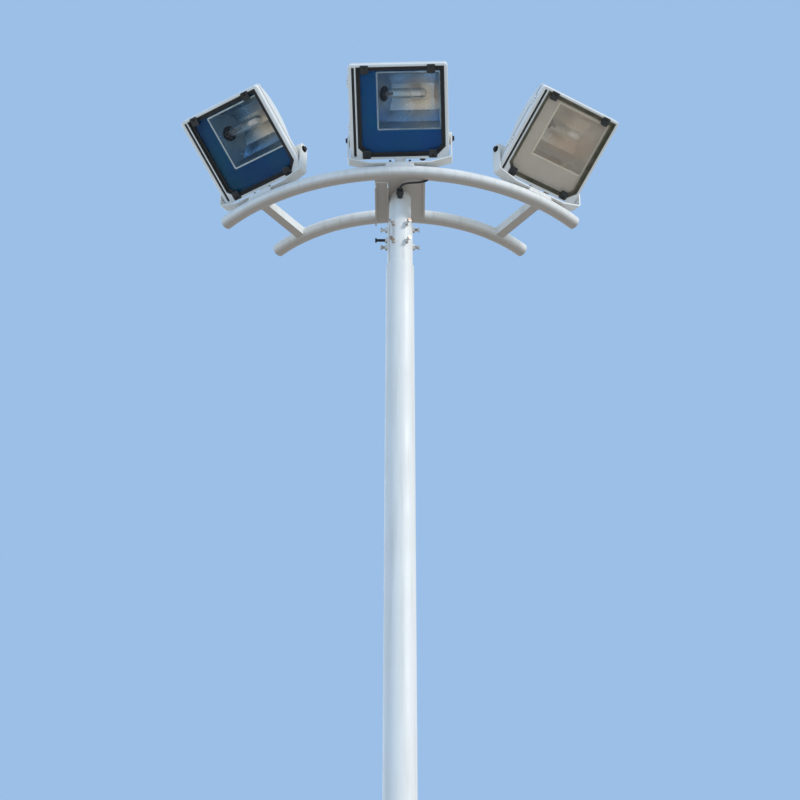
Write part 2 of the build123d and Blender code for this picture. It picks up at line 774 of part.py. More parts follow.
# Pivot bolts with washers, through the yoke into the housing's bosses
bolt_head_seat = yoke_half_span + yoke_thickness / 2 + pivot_running_gap
with BuildPart() as pivot_bolts:
    for side in (-1, 1):
        with BuildSketch(Plane.YZ.offset(side * bolt_foot)):
            Circle(pivot_bolt_diameter / 2)
        extrude(amount=side * (bolt_head_seat - bolt_foot))
        with BuildSketch(Plane.YZ.offset(side * bolt_head_seat)):
            Circle(pivot_washer_radius)
        extrude(amount=side * pivot_washer_thickness)
        with BuildSketch(Plane.YZ.offset(side * (bolt_head_seat + pivot_washer_thickness))):
            RegularPolygon(pivot_head_radius, 6)
        extrude(amount=side * pivot_head_height)

# Each floodlight is the same set of pieces, placed on its own pad, panned and tilted
lamp_pieces = {
    "housing": housing,
    "door_frame": door_frame,
    "cover_glass": cover_glass,
    "corner_clips": corner_clips,
    "mask_plate": mask_plate,
    "reflector": reflector,
    "lamp_holder": lamp_holder,
    "bulb": bulb,
    "pivot_bolts": pivot_bolts,
}
for name, angle, pan, tilt in zip(lamp_names, lamp_angles, lamp_pans, lamp_tilts):
    pivot = arc_point(arc_radius, angle, pad_z + yoke_rise)
    across = along(angle + pan)
    facing = outward(angle + pan) * cos(radians(tilt)) - Vector(0, 0, sin(radians(tilt)))
    save(yoke.part.moved(Plane(origin=pivot, x_dir=across, z_dir=(0, 0, 1)).location), f"{name}_yoke")
    lamp_place = Plane(origin=pivot, x_dir=across, z_dir=facing).location
    for piece_name, piece in lamp_pieces.items():
        save(piece.part.moved(lamp_place), f"{name}_{piece_name}")
    print(f"{name} lamp pivot (m):", [round(value / 1000, 6) for value in pivot])
    print(f"{name} lamp axis:", [round(value, 6) for value in across])
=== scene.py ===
# %% [markdown]
# # A floodlight mast, seen from the court below
# The mast is a tapered steel pole under white powder coat. On its head two bent tubes carry three
# square metal-halide floodlights, each tilting on a yoke. The construction comes ready from the
# CAD frame, in metres. This lesson gives each surface its finish and adds what a maker would
# still see: weld beads, nuts, gaskets, hinge pins, glands and the parts inside the bulbs.

# %% Load the frame
import json
from math import atan2, cos, radians, sin, sqrt, tan

import bmesh
import bpy
from mathutils import Matrix, Vector


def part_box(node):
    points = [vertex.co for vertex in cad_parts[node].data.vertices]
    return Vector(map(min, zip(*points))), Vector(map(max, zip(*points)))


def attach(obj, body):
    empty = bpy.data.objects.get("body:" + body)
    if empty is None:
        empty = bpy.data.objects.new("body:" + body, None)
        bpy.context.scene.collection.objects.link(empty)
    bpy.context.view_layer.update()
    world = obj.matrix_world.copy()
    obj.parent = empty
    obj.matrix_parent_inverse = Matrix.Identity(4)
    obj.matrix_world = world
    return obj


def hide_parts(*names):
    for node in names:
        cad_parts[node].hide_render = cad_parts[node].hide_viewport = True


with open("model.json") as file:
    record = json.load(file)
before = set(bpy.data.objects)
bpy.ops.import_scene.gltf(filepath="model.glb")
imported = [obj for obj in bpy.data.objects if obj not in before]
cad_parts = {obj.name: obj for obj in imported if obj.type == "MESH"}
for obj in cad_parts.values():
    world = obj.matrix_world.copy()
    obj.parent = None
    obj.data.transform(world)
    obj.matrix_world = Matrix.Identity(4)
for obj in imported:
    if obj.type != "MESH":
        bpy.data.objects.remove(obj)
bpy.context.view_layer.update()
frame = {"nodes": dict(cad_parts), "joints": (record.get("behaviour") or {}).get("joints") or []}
nodes = frame["nodes"]
lamps = ["left", "middle", "right"]

# %% [markdown]
# ## Where each floodlight stands
# Every floodlight is the same casting, so its small pieces are modelled once, in the lamp's own
# frame: the origin on the tilt axis, x along that axis, y up the face and z out of the glass.
# The joint says where that frame stands. A lamp's lowest limit is the level one, so the angle
# from there to rest is how far it looks down.

# %% Lamp frames
upright = Vector((0, 0, 1))


def tilt_joint(lamp):
    """The joint on which a lamp tilts."""
    return next(joint for joint in frame["joints"] if joint["child"] == f"{lamp}_floodlight")


def stand(place, x_axis, z_axis):
    """The matrix of a frame that stands at a place with the given x and z axes."""
    turn = Matrix((x_axis, z_axis.cross(x_axis), z_axis)).transposed().to_4x4()
    return Matrix.Translation(Vector(place)) @ turn


def lamp_frame(lamp):
    """The matrix that carries the lamp's own frame into the row frame."""
    joint = tilt_joint(lamp)
    across = Vector(joint["axis"])
    look_down = radians(-joint["range_deg"][0])
    facing = across.cross(upright) * cos(look_down) - upright * sin(look_down)
    return stand(joint["pos_m"], across, facing)


def yoke_frame(lamp):
    """The same place with z upright, which is how the yoke stands."""
    joint = tilt_joint(lamp)
    return stand(joint["pos_m"], Vector(joint["axis"]), upright)


def lamp_box(piece):
    """Lowest and highest corner of one of the lamp's CAD nodes, in the lamp's own frame."""
    inverse = lamp_frame("middle").inverted()
    points = [inverse @ vertex.co for vertex in nodes[f"middle_{piece}"].data.vertices]
    return Vector(map(min, *points)), Vector(map(max, *points))


print("housing from and to", *lamp_box("housing"))

# %% [markdown]
# ## Shaders, built from a few bricks
# Each finish is a Principled shader whose colour, roughness and bump come from noise on Object
# coordinates, so the pattern stays on the metal. Small functions keep the recipes short. The first
# adds any node with its inputs, the next ones make a noise pattern, stretch it and blend colours
# by it, and the last ones link the result to the shader.


# %% Bricks that make a value
def add_node(owner, kind, inputs=None, **settings):
    """Add a node to a material's tree or to a socket's; an input is a plain value or an output."""
    tree = owner.id_data if isinstance(owner, bpy.types.NodeSocket) else owner.node_tree
    made = tree.nodes.new(kind)
    for name, value in settings.items():
        setattr(made, name, value)
    for name, value in (inputs or {}).items():
        if isinstance(value, bpy.types.NodeSocket):
            tree.links.new(value, made.inputs[name])
        else:
            made.inputs[name].default_value = value
    return made


def object_place(material):
    """Object coordinates: the point on the object, in metres."""
    return add_node(material, "ShaderNodeTexCoord").outputs["Object"]


def pattern(material, scale, stretch=(1, 1, 1), detail=3.0):
    """Noise on Object coordinates, with so many features to the metre along each axis."""
    place = {"Vector": object_place(material), "Scale": stretch}
    mapped = add_node(material, "ShaderNodeMapping", place).outputs["Vector"]
    noise = {"Vector": mapped, "Scale": scale, "Detail": detail}
    return add_node(material, "ShaderNodeTexNoise", noise).outputs[0]


def spread(value, start, end, low=0.0, high=1.0):
    """Map the stretch from start to end onto low to high, and hold it there outside."""
    limits = {"From Min": start, "From Max": end, "To Min": low, "To Max": high}
    return add_node(value, "ShaderNodeMapRange", {"Value": value, **limits}).outputs[0]


def calculate(operation, *values):
    """The result of a Math node; MULTIPLY makes a share that needs both of its values."""
    inputs = dict(enumerate(values))
    return add_node(values[0], "ShaderNodeMath", inputs, operation=operation).outputs[0]


def mixed(share, first, second):
    """Blend two colours by a share; each is a plain colour or a node's output."""
    inputs = {0: share}
    for index, colour in ((6, first), (7, second)):
        inputs[index] = colour if isinstance(colour, bpy.types.NodeSocket) else (*colour, 1)
    return add_node(share, "ShaderNodeMix", inputs, data_type="RGBA").outputs[2]


def split(vector):
    """The x, y and z of a vector."""
    return add_node(vector, "ShaderNodeSeparateXYZ", {"Vector": vector}).outputs


# %% Bricks that work on the shader
def shader_of(material):
    """The material's Principled shader."""
    return material.node_tree.nodes["Principled BSDF"]


def new_finish(name, colour, roughness, metallic=0.0):
    """A fresh material with its Principled shader set to plain values."""
    material = bpy.data.materials.new(name)
    material.use_nodes = True
    plain = {"Base Color": (*colour, 1), "Roughness": roughness, "Metallic": metallic}
    for socket, value in plain.items():
        shader_of(material).inputs[socket].default_value = value
    return material


def feed(material, value, socket):
    """Link a node's output to a socket of the Principled shader."""
    material.node_tree.links.new(value, shader_of(material).inputs[socket])


def cloud_over(material, noise, first, second, end=0.7):
    """Let the colour follow a noise from the first colour to the second."""
    feed(material, mixed(spread(noise, 0.35, end), first, second), "Base Color")


def uneven_gloss(material, noise, low, high):
    """Let the roughness follow a noise between two values."""
    feed(material, spread(noise, 0.3, 0.7, low, high), "Roughness")


def roughen(material, height, depth, strength=1.0):
    """Bump the surface by a height pattern, depth metres deep, on top of any bump before."""
    inputs = {"Height": height, "Distance": depth, "Strength": strength}
    before = shader_of(material).inputs["Normal"].links
    if before:
        inputs["Normal"] = before[0].from_socket
    feed(material, add_node(material, "ShaderNodeBump", inputs).outputs["Normal"], "Normal")


print("bricks ready")

# %% [markdown]
# ## White paint on steel
# Powder coat is never quite smooth: it dries with a fine orange peel. Years of rain draw faint
# grey runs down the pole. The undersides of the tubes get a painted shade, warm beige from below and
# darker the more they face down. Rust weeps a little below the collar's screws, and rain splashes
# earth on the foot. One recipe serves the pole, the tubes and the castings, with the amounts changed.

# %% Paint recipe
# warm beige painted shade for faces that look down
underside_painted_shade = (0.36, 0.30, 0.26)
rust = (0.30, 0.15, 0.07)
earth = (0.30, 0.26, 0.20)


def paint(name, colour, grime, gloss, run_share, cloud_share, underside_shade_share, peel_scale):
    """White paint with rain runs, cloudy soiling, painted shade underneath and an orange-peel bump."""
    material = new_finish(name, colour, gloss)
    runs = pattern(material, 9.0, stretch=(4.5, 4.5, 0.2), detail=5.0)
    clouds = pattern(material, 4.0, detail=4.0)
    soiled_and_shaded = mixed(spread(runs, 0.5, 0.75, 0.0, run_share), colour, grime)
    soiled_and_shaded = mixed(spread(clouds, 0.45, 0.75, 0.0, cloud_share), soiled_and_shaded, grime)
    if underside_shade_share:
        # painted shade: the further a face looks down, the more it turns warm beige
        normal = add_node(material, "ShaderNodeNewGeometry").outputs["Normal"]
        dust_and_shade = spread(split(normal)[2], -0.35, -0.92, 0.0, underside_shade_share)
        soiled_and_shaded = mixed(dust_and_shade, soiled_and_shaded, underside_painted_shade)
        height = split(object_place(material))[2]
        above_tails = spread(height, 7.10, 7.36)
        below_top = spread(height, 7.52, 7.49)
        at_collar = calculate("MULTIPLY", above_tails, below_top)
        streaks = spread(runs, 0.60, 0.72, 0.0, 0.55)
        soiled_and_shaded = mixed(calculate("MULTIPLY", at_collar, streaks), soiled_and_shaded, rust)
        near_ground = spread(height, 0.55, 0.0)
        blots = spread(clouds, 0.35, 0.65, 0.1, 0.8)
        soiled_and_shaded = mixed(calculate("MULTIPLY", near_ground, blots), soiled_and_shaded, earth)
    feed(material, soiled_and_shaded, "Base Color")
    uneven_gloss(material, clouds, gloss - 0.06, gloss + 0.1)
    roughen(material, pattern(material, peel_scale, detail=1.0), 0.0004, 0.5)
    roughen(material, pattern(material, peel_scale / 9), 0.0008, 0.35)
    return material


paint_recipes = {
    # name: colour, grime, roughness, shares of runs, clouds and painted underside shade, peels to the
    # metre
    "white_paint": ((0.80, 0.80, 0.79), (0.43, 0.42, 0.38), 0.50, 0.30, 0.10, 0.88, 330.0),
    "yoke_white": ((0.80, 0.80, 0.78), (0.45, 0.43, 0.38), 0.38, 0.14, 0.16, 0.25, 420.0),
    "cast_white": ((0.77, 0.77, 0.745), (0.45, 0.43, 0.38), 0.42, 0.16, 0.26, 0.0, 620.0),
    "door_white": ((0.82, 0.83, 0.84), (0.45, 0.44, 0.42), 0.34, 0.12, 0.18, 0.0, 480.0),
}
painted = {name: paint(name, *recipe) for name, recipe in paint_recipes.items()}
print("paints:", *painted)

# %% [markdown]
# ## Metals
# Bolts are zinc plated or blackened, and neither is even: the plating clouds over, so roughness
# follows a noise. The rim of a reflector is bright metal too, and the middle lamp's shows only
# faintly in the shade of its housing, so it gets a colder, darker grey as a painted shade.


# %% Metal finishes
def metal(name, colour, stained, roughness, cloud_scale):
    """A metal whose colour and roughness cloud over together."""
    material = new_finish(name, colour, roughness, metallic=1.0)
    clouds = pattern(material, cloud_scale, detail=5.0)
    cloud_over(material, clouds, colour, stained)
    uneven_gloss(material, clouds, roughness - 0.08, roughness + 0.14)
    roughen(material, pattern(material, cloud_scale * 8, detail=2.0), 0.0003, 0.4)
    return material


metal_recipes = {
    # name: colour, stained colour, roughness, clouds to the metre
    "zinc_steel": ((0.62, 0.63, 0.62), (0.45, 0.42, 0.36), 0.36, 70.0),
    "black_steel": ((0.035, 0.035, 0.038), (0.075, 0.06, 0.05), 0.42, 90.0),
    "bright_trim": ((0.78, 0.79, 0.78), (0.60, 0.60, 0.57), 0.34, 30.0),
    # painted shade: the middle lamp's rim, a darker, colder grey
    "painted_shade_trim": ((0.42, 0.50, 0.56), (0.34, 0.40, 0.45), 0.36, 30.0),
}
metals = {name: metal(name, *recipe) for name, recipe in metal_recipes.items()}
print("metals:", *metals)

# %% [markdown]
# ## A reflector with a painted glint
# The reflector is bright-dipped aluminium sheet, dimpled a little so that it spreads the light; a
# cell pattern makes those dimples. Opposite the middle of the bulb it goes a bright straw colour, a
# painted highlight that stands for the bulb's glint in the sheet. Two of the sheets are a cold blue
# grey, a painted reflection of the blue sky, and the left one is darker still, a painted shade; the
# right one has dulled to a warm grey. The painted glint is a soft ball in the lamp's own frame, so
# a Mapping node carries Object coordinates back into that frame: its turn and its shift are those
# of the lamp's inverted matrix.

# %% Reflector sheet, one for each lamp
# painted highlight: where the bulb's glint lies on the sheet, in the lamp's frame, its colour and
# reach
painted_glint_centre = (0.095, 0.175, -0.030)
painted_glint_colour = (0.95, 0.70, 0.50)
glint_reach, glint_core = 0.110, 0.040
# left and middle: a blue grey that is painted sky reflection, the left's darker as painted shade
sheet_colours = {
    "left": ((0.33, 0.47, 0.58), (0.26, 0.36, 0.44)),
    "middle": ((0.49, 0.63, 0.78), (0.39, 0.49, 0.61)),
    "right": ((0.74, 0.69, 0.64), (0.62, 0.56, 0.50)),
}
reflector_sheets = {}
for lamp in lamps:
    sheet = metal(f"{lamp}_bright_aluminium", *sheet_colours[lamp], 0.30, 14.0)
    into_lamp = lamp_frame(lamp).inverted()
    back = {"Location": into_lamp.to_translation(), "Rotation": into_lamp.to_euler()}
    in_lamp = add_node(sheet, "ShaderNodeMapping", {"Vector": object_place(sheet), **back})
    ends = {0: in_lamp.outputs["Vector"], 1: painted_glint_centre}
    away = add_node(sheet, "ShaderNodeVectorMath", ends, operation="DISTANCE").outputs["Value"]
    clean = shader_of(sheet).inputs["Base Color"].links[0].from_socket
    # share of the painted glint
    glint_share = spread(away, glint_reach, glint_core, 0.0, 0.95)
    feed(sheet, mixed(glint_share, clean, painted_glint_colour), "Base Color")
    cells = add_node(sheet, "ShaderNodeTexVoronoi", {"Vector": object_place(sheet), "Scale": 150.0})
    roughen(sheet, cells.outputs["Distance"], 0.0012, 0.45)
    reflector_sheets[lamp] = sheet
print("reflector sheets:", [sheet.name for sheet in reflector_sheets.values()])

# %% [markdown]
# ## Set screws that rust
# The collar's screws were plated once. Now rust shows in blotches, and the one long locking bolt on
# the left is black. Both belong to one CAD node, so the bolt is found by its place.

# %% Plated screws and a black bolt
locking_level = 7.448
old_plating = (0.62, 0.60, 0.56)
screw_rust = (0.24, 0.12, 0.06)
bolt_black = (0.018, 0.018, 0.020)
plating = new_finish("screw_plating", old_plating, 0.48, metallic=0.4)
blotches = spread(pattern(plating, 60.0, detail=4.0), 0.46, 0.60, 0.0, 0.85)
plated = mixed(blotches, old_plating, screw_rust)
across, _, height = split(object_place(plating))
off_level = calculate("SUBTRACT", height, locking_level)
off_level = calculate("ABSOLUTE", off_level)
near_level = spread(off_level, 0.020, 0.018)
on_left = spread(across, -0.030, -0.034)
on_bolt = calculate("MULTIPLY", near_level, on_left)
feed(plating, mixed(on_bolt, plated, bolt_black), "Base Color")
print("screws:", plating.name)

# %% [markdown]
# ## Masking paint, plastics, rubber and porcelain
# Behind the glass a navy plate hides the control gear. The left floodlight's is a darker teal, a
# painted shade, and the right one's has gone a warm pale grey, with a cream edge round its window.
# The lamp holder is porcelain under a dark brown glaze, and the arc tube is pale ceramic, tinted a
# bright salmon as a painted glint. Clips, gland and lead are black, but sun and dust turn each a
# slightly different grey. The right lamp's rubber lip is the dustiest, an olive grey.


# %% Dark and ceramic finishes
def solid_colour(name, colour, worn, roughness, scale, depth, shine):
    """A moulded or painted surface, mottled between two colours, with a fine grain."""
    material = new_finish(name, colour, roughness)
    shader_of(material).inputs["Specular IOR Level"].default_value = shine
    mottle = pattern(material, scale, detail=4.0)
    cloud_over(material, mottle, colour, worn)
    uneven_gloss(material, mottle, roughness - 0.05, roughness + 0.12)
    roughen(material, pattern(material, scale * 30, detail=2.0), depth, 0.5)
    return material


solid_recipes = {
    # name: colour, worn colour, roughness, mottles to the metre, depth of grain, shine
    "navy_mask": ((0.001, 0.058, 0.265), (0.001, 0.090, 0.225), 0.60, 5.0, 0.0003, 0.03),
    # the navy mask made darker and tealer for the left lamp: a painted shade
    "painted_shade_teal_mask": ((0.003, 0.050, 0.165), (0.003, 0.078, 0.135), 0.60, 5.0, 0.0003, 0.03),
    "faded_mask": ((0.58, 0.51, 0.47), (0.50, 0.45, 0.37), 0.60, 6.0, 0.0003, 0.2),
    "cream_trim": ((0.92, 0.86, 0.72), (0.84, 0.77, 0.62), 0.40, 30.0, 0.0003, 0.5),
    "black_plastic": ((0.014, 0.014, 0.016), (0.035, 0.035, 0.036), 0.42, 40.0, 0.0003, 0.5),
    "black_rubber": ((0.012, 0.012, 0.013), (0.030, 0.028, 0.027), 0.62, 60.0, 0.0004, 0.5),
    "dusty_rubber": ((0.085, 0.082, 0.055), (0.17, 0.15, 0.11), 0.75, 25.0, 0.0004, 0.2),
    # pale ceramic made bright salmon: a painted glint
    "ceramic": ((0.98, 0.83, 0.75), (0.90, 0.70, 0.58), 0.24, 30.0, 0.0002, 0.5),
    # near-black iron for the holder ring: a painted shade
    "painted_shade_iron": ((0.004, 0.006, 0.012), (0.012, 0.012, 0.014), 0.50, 50.0, 0.0003, 0.1),
    "stem_glass": ((0.030, 0.018, 0.018), (0.060, 0.035, 0.030), 0.20, 60.0, 0.0002, 0.3),
    "brown_glaze": ((0.010, 0.008, 0.010), (0.026, 0.016, 0.014), 0.26, 30.0, 0.0002, 0.2),
}
solid = {name: solid_colour(name, *recipe) for name, recipe in solid_recipes.items()}
black_rubber = solid["black_rubber"]
black_plastic = solid["black_plastic"]
print("solid colours:", *solid)

# %% [markdown]
# ## Glass
# The cover is 4 mm toughened glass. Real glass lets lamps light what is behind it, which a path
# tracer finds slowly, so light rays pass it as if it were clear while the camera sees a refracting
# pane. Its index is a little low, since a coated pane mirrors less than a bare one. Dust lies on it
# as a thin matt film. The right floodlight's glass is far dustier: its film nearly hides the mask,
# and shows as a warm grey.


# %% Glass finishes
def glass(name, ior, tint, passed, film_colour, clear, dusty, scale):
    """A pane with a dust film whose share runs from clear to dusty over a noise."""
    material = new_finish(name, tint, 0.03)
    shader = shader_of(material)
    shader.inputs["Transmission Weight"].default_value = 1.0
    shader.inputs["IOR"].default_value = ior
    film = {"Base Color": (*film_colour, 1), "Roughness": 0.75}
    dust_and_shade = add_node(material, "ShaderNodeBsdfPrincipled", film).outputs[0]
    share = spread(pattern(material, scale, detail=6.0), 0.35, 0.7, clear, dusty)
    pane = add_node(material, "ShaderNodeMixShader", {0: share, 1: shader.outputs[0], 2: dust_and_shade})
    rays = add_node(material, "ShaderNodeLightPath").outputs
    lighting = calculate("MAXIMUM", rays["Is Shadow Ray"], rays["Is Diffuse Ray"])
    open_air = add_node(material, "ShaderNodeBsdfTransparent", {"Color": (passed, passed, passed, 1)})
    choice = {0: lighting, 1: pane.outputs[0], 2: open_air.outputs[0]}
    surface = add_node(material, "ShaderNodeMixShader", choice).outputs[0]
    output = material.node_tree.nodes["Material Output"]
    material.node_tree.links.new(surface, output.inputs["Surface"])
    return material


glass_recipes = {
    # name: index, tint, light let past, colour of the dust, its least and most, clouds to the metre
    "clear_glass": (1.22, (0.90, 0.96, 1.00), 0.93, (0.04, 0.18, 0.40), 0.0, 0.04, 7.0),
    "dusty_glass": (1.22, (0.96, 0.94, 0.90), 0.90, (0.86, 0.74, 0.63), 0.13, 0.29, 6.0),
    "bulb_glass": (1.45, (0.96, 0.98, 0.98), 0.96, (0.7, 0.7, 0.68), 0.0, 0.04, 40.0),
}
panes = {name: glass(name, *recipe) for name, recipe in glass_recipes.items()}
print("glass:", *panes)

# %% [markdown]
# ## The finishes go onto the CAD nodes
# A carried-over node keeps its mesh. Only the material in its slot changes. Most of the mast is
# under one white paint, so the table starts with that and then names what differs.

# %% Dress the CAD nodes
node_finishes = {name: painted["white_paint"] for name in nodes}
node_finishes["collar_screws"] = plating
node_finishes["cable_gland"] = black_plastic
node_finishes["supply_lead"] = black_rubber
lamp_finishes = {
    "housing": painted["cast_white"],
    "door_frame": painted["door_white"],
    "cover_glass": panes["clear_glass"],
    "corner_clips": black_plastic,
    "mask_plate": solid["navy_mask"],
    "lamp_holder": solid["brown_glaze"],
    "bulb": panes["bulb_glass"],
    "pivot_bolts": metals["black_steel"],
    "yoke": painted["yoke_white"],
}
for lamp in lamps:
    for piece, finish in lamp_finishes.items():
        node_finishes[f"{lamp}_{piece}"] = finish
    node_finishes[f"{lamp}_reflector"] = reflector_sheets[lamp]
# the left mask gets the painted shade
node_finishes["left_mask_plate"] = solid["painted_shade_teal_mask"]
node_finishes["right_mask_plate"] = solid["faded_mask"]
node_finishes["right_cover_glass"] = panes["dusty_glass"]
for name, finish in node_finishes.items():
    nodes[name].data.materials.clear()
    nodes[name].data.materials.append(finish)
print("dressed:", len(node_finishes), "nodes")

# %% [markdown]
# ## Working by hand, from a script
# A primitive is added, its place is frozen into its mesh, and then faces and edges are picked by
# where they are and shaped with edit-mode operators. Loading the frame leaves its nodes selected,
# so each piece starts with nothing selected.

# %% Starting and closing a piece
along_y = (radians(90), 0, 0)


def clean_start():
    """Leave edit mode and select nothing."""
    if bpy.context.object and bpy.context.object.mode != "OBJECT":
        bpy.ops.object.mode_set(mode="OBJECT")
    bpy.ops.object.select_all(action="DESELECT")


def edit_new(name):
    """Name the new primitive, freeze its place into its mesh and open it in edit mode."""
    piece = bpy.context.object
    piece.name = name
    piece.data.name = name
    bpy.ops.object.transform_apply(location=True, rotation=True, scale=True)
    bpy.ops.object.mode_set(mode="EDIT")
    return piece


def new_plane(name, centre, width, length):
    """A plane of a size, open in edit mode."""
    clean_start()
    bpy.ops.mesh.primitive_plane_add(size=1, location=centre)
    bpy.context.object.scale = (width, length, 1)
    return edit_new(name)


def new_cylinder(name, sides, radius, depth, **place):
    """A cylinder along z, open in edit mode; place is its location and rotation."""
    clean_start()
    bpy.ops.mesh.primitive_cylinder_add(vertices=sides, radius=radius, depth=depth, **place)
    return edit_new(name)


def new_ring(name, segments, sides, radius, thickness, **place):
    """A torus round z, open in edit mode; thickness is its section's radius."""
    sizes = {"major_radius": radius, "minor_radius": thickness, **place}
    clean_start()
    bpy.ops.mesh.primitive_torus_add(major_segments=segments, minor_segments=sides, **sizes)
    return edit_new(name)


def select_whole():
    """Select the whole mesh that is open."""
    bpy.ops.mesh.select_all(action="SELECT")


def close_piece(piece, finish, smooth_angle=35):
    """Merge doubles, turn the faces outwards, leave edit mode, shade and give the finish."""
    bpy.ops.mesh.select_mode(type="FACE")
    select_whole()
    bpy.ops.mesh.remove_doubles(threshold=1e-6)
    bpy.ops.mesh.normals_make_consistent(inside=False)
    bpy.ops.object.mode_set(mode="OBJECT")
    piece.data.materials.clear()
    piece.data.materials.append(finish)
    bpy.ops.object.shade_smooth_by_angle(angle=radians(smooth_angle))
    return piece


# %% Picking and shaping
def middle(item):
    """The middle of a face, an edge or a vertex."""
    if isinstance(item, bmesh.types.BMFace):
        return item.calc_center_median()
    if isinstance(item, bmesh.types.BMEdge):
        return (item.verts[0].co + item.verts[1].co) / 2
    return item.co


def pick(piece, kind, test):
    """In edit mode, select only the faces, edges or vertices that pass the test."""
    bpy.ops.mesh.select_mode(type=kind)
    bpy.ops.mesh.select_all(action="DESELECT")
    mesh = bmesh.from_edit_mesh(piece.data)
    items = {"VERT": mesh.verts, "EDGE": mesh.edges, "FACE": mesh.faces}[kind]
    for item in items:
        if test(item):
            item.select_set(True)
    bmesh.update_edit_mesh(piece.data)


def extrude(x=0, y=0, z=0):
    """Extrude what is selected and move it."""
    bpy.ops.mesh.extrude_region_move(TRANSFORM_OT_translate={"value": (x, y, z)})


def hollow(piece):
    """Delete the many-sided face that is left inside an inset outline."""
    pick(piece, "FACE", lambda face: len(face.verts) > 4)
    bpy.ops.mesh.delete(type="FACE")
    select_whole()


def draw_out(piece, steps, end=1):
    """Extrude the face on the axis step by step; a step is its rise and the width that is left."""
    for rise, width in steps:
        pick(piece, "FACE", lambda face: face.normal.z * end > 0.99 and middle(face).xy.length < 0.002)
        extrude(z=rise * end)
        bpy.ops.transform.resize(value=(width, width, 1))


def flat_ring(name, centre, size, corner, segments, width, rise):
    """A rectangular ring with rounded corners; size is its outline, width the ring's own."""
    ring = new_plane(name, centre, *size)
    select_whole()
    bpy.ops.mesh.bevel(offset=corner, segments=segments, affect="VERTICES")
    bpy.ops.mesh.inset(thickness=width)
    hollow(ring)
    extrude(z=rise)
    return ring


# %% Copying a piece to its places
z_to_minus_y = Matrix.Rotation(radians(90), 4, "X")
z_to_x = Matrix.Rotation(radians(90), 4, "Y")


def at(x, y, z):
    """A plain place, unturned."""
    return Matrix.Translation((x, y, z))


def ride_mast(piece):
    """Let a piece ride on the mast."""
    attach(piece, "mast")


def put(piece, name, matrices, body):
    """Copy a finished piece to each place, join the copies and let them ride on a body."""
    clean_start()
    copies = []
    for matrix in matrices:
        copy = piece.copy()
        copy.data = piece.data.copy()
        copy.data.transform(matrix)
        bpy.context.scene.collection.objects.link(copy)
        copy.select_set(True)
        copies.append(copy)
    bpy.context.view_layer.objects.active = copies[0]
    if len(copies) > 1:
        bpy.ops.object.join()
    made = bpy.context.object
    made.name = name
    made.data.name = name
    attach(made, body)


def put_on_mast(piece, name, matrices):
    """Copy a piece to places on the mast, then delete the model piece."""
    put(piece, name, matrices, "mast")
    bpy.data.objects.remove(piece)
    print(name, "on the mast,", len(matrices), "places")


def put_on_lamps(piece, name, places=(Matrix.Identity(4),)):
    """Copy a piece to the same places in each lamp's own frame, then delete the model piece."""
    for lamp in lamps:
        matrices = [lamp_frame(lamp) @ place for place in places]
        put(piece, f"{lamp}_{name}", matrices, f"{lamp}_floodlight")
    bpy.data.objects.remove(piece)
    print(name, "on", len(lamps), "lamps,", len(places), "places each")


# %% [markdown]
# ## Supply lead
# One lead shows on the headframe: 9 mm rubber cable that leaves the gland on the stub, swings out
# to the right and goes up into the front tube. A cable has no corners, so it is one NURBS line
# through a few chosen points, with a round bevel for its thickness. It hangs between its two ends.

# %% Lead from the gland to the front tube
lead_diameter = 0.009
supply_low, supply_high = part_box("cable_gland")
supply_z = (supply_low.z + supply_high.z) / 2
lead_exit = Vector((0, supply_low.y, supply_z))
lead_steps = [
    (0, 0, 0),
    (0, -0.018, 0),
    (0.012, -0.037, -0.001),
    (0.036, -0.046, -0.001),
    (0.064, -0.045, 0.002),
    (0.090, -0.039, 0.009),
    (0.112, -0.034, 0.021),
]
clean_start()
lead_line = bpy.data.curves.new("supply_lead_cord", "CURVE")
lead_line.dimensions = "3D"
lead_line.bevel_depth = lead_diameter / 2
lead_line.bevel_resolution = 6
lead_line.use_fill_caps = True
spline = lead_line.splines.new("NURBS")
spline.points.add(len(lead_steps) - 1)
for point, step in zip(spline.points, lead_steps):
    point.co = (*(lead_exit + Vector(step)), 1)
spline.order_u = 3
spline.use_endpoint_u = True
spline.resolution_u = 16
lead_line.materials.append(black_rubber)
lead = bpy.data.objects.new("supply_lead_cord", lead_line)
bpy.context.scene.collection.objects.link(lead)
ride_mast(lead)
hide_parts("supply_lead")
print("lead leaves the gland at", lead_exit)

# %% [markdown]
# ## Grommet where the lead goes in
# A soft ring keeps the tube's edge from cutting the lead. A torus is squashed a little along its
# axis, then turned so that it lies on the tube.

# %% Grommet on the front tube
arc_low, arc_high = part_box("outer_arc")
arc_radius = 1.018
arc_spacing = 0.294
arc_centre = Vector((0, arc_radius - arc_spacing / 2, (arc_low.z + arc_high.z) / 2))
arc_tube_outer = (arc_high.z - arc_low.z) / 2
lead_end = lead_exit + Vector(lead_steps[-1])
from_centre = lead_end - arc_centre
from_centre.z = 0
tube_axis_point = arc_centre + from_centre.normalized() * arc_radius
lead_side = (lead_end - tube_axis_point).normalized()
grommet = new_ring("lead_grommet", 28, 10, radius=0.0062, thickness=0.0026)
select_whole()
bpy.ops.transform.resize(value=(1, 1, 0.8))
close_piece(grommet, black_rubber, 60)
grommet_place = lead_side.to_track_quat("Z", "X").to_matrix().to_4x4()
grommet_place.translation = tube_axis_point + lead_side * (arc_tube_outer + 0.0008)
put_on_mast(grommet, "supply_lead_grommet", [grommet_place])

# %% [markdown]
# ## Door gasket
# A strip of black rubber is pinched between the door and the housing's flange, and shows as a
# thin dark line round the edge. A plane is the easiest start: its corners are rounded, an inset
# makes the ring, the middle goes, and an extrusion gives the strip its thickness.

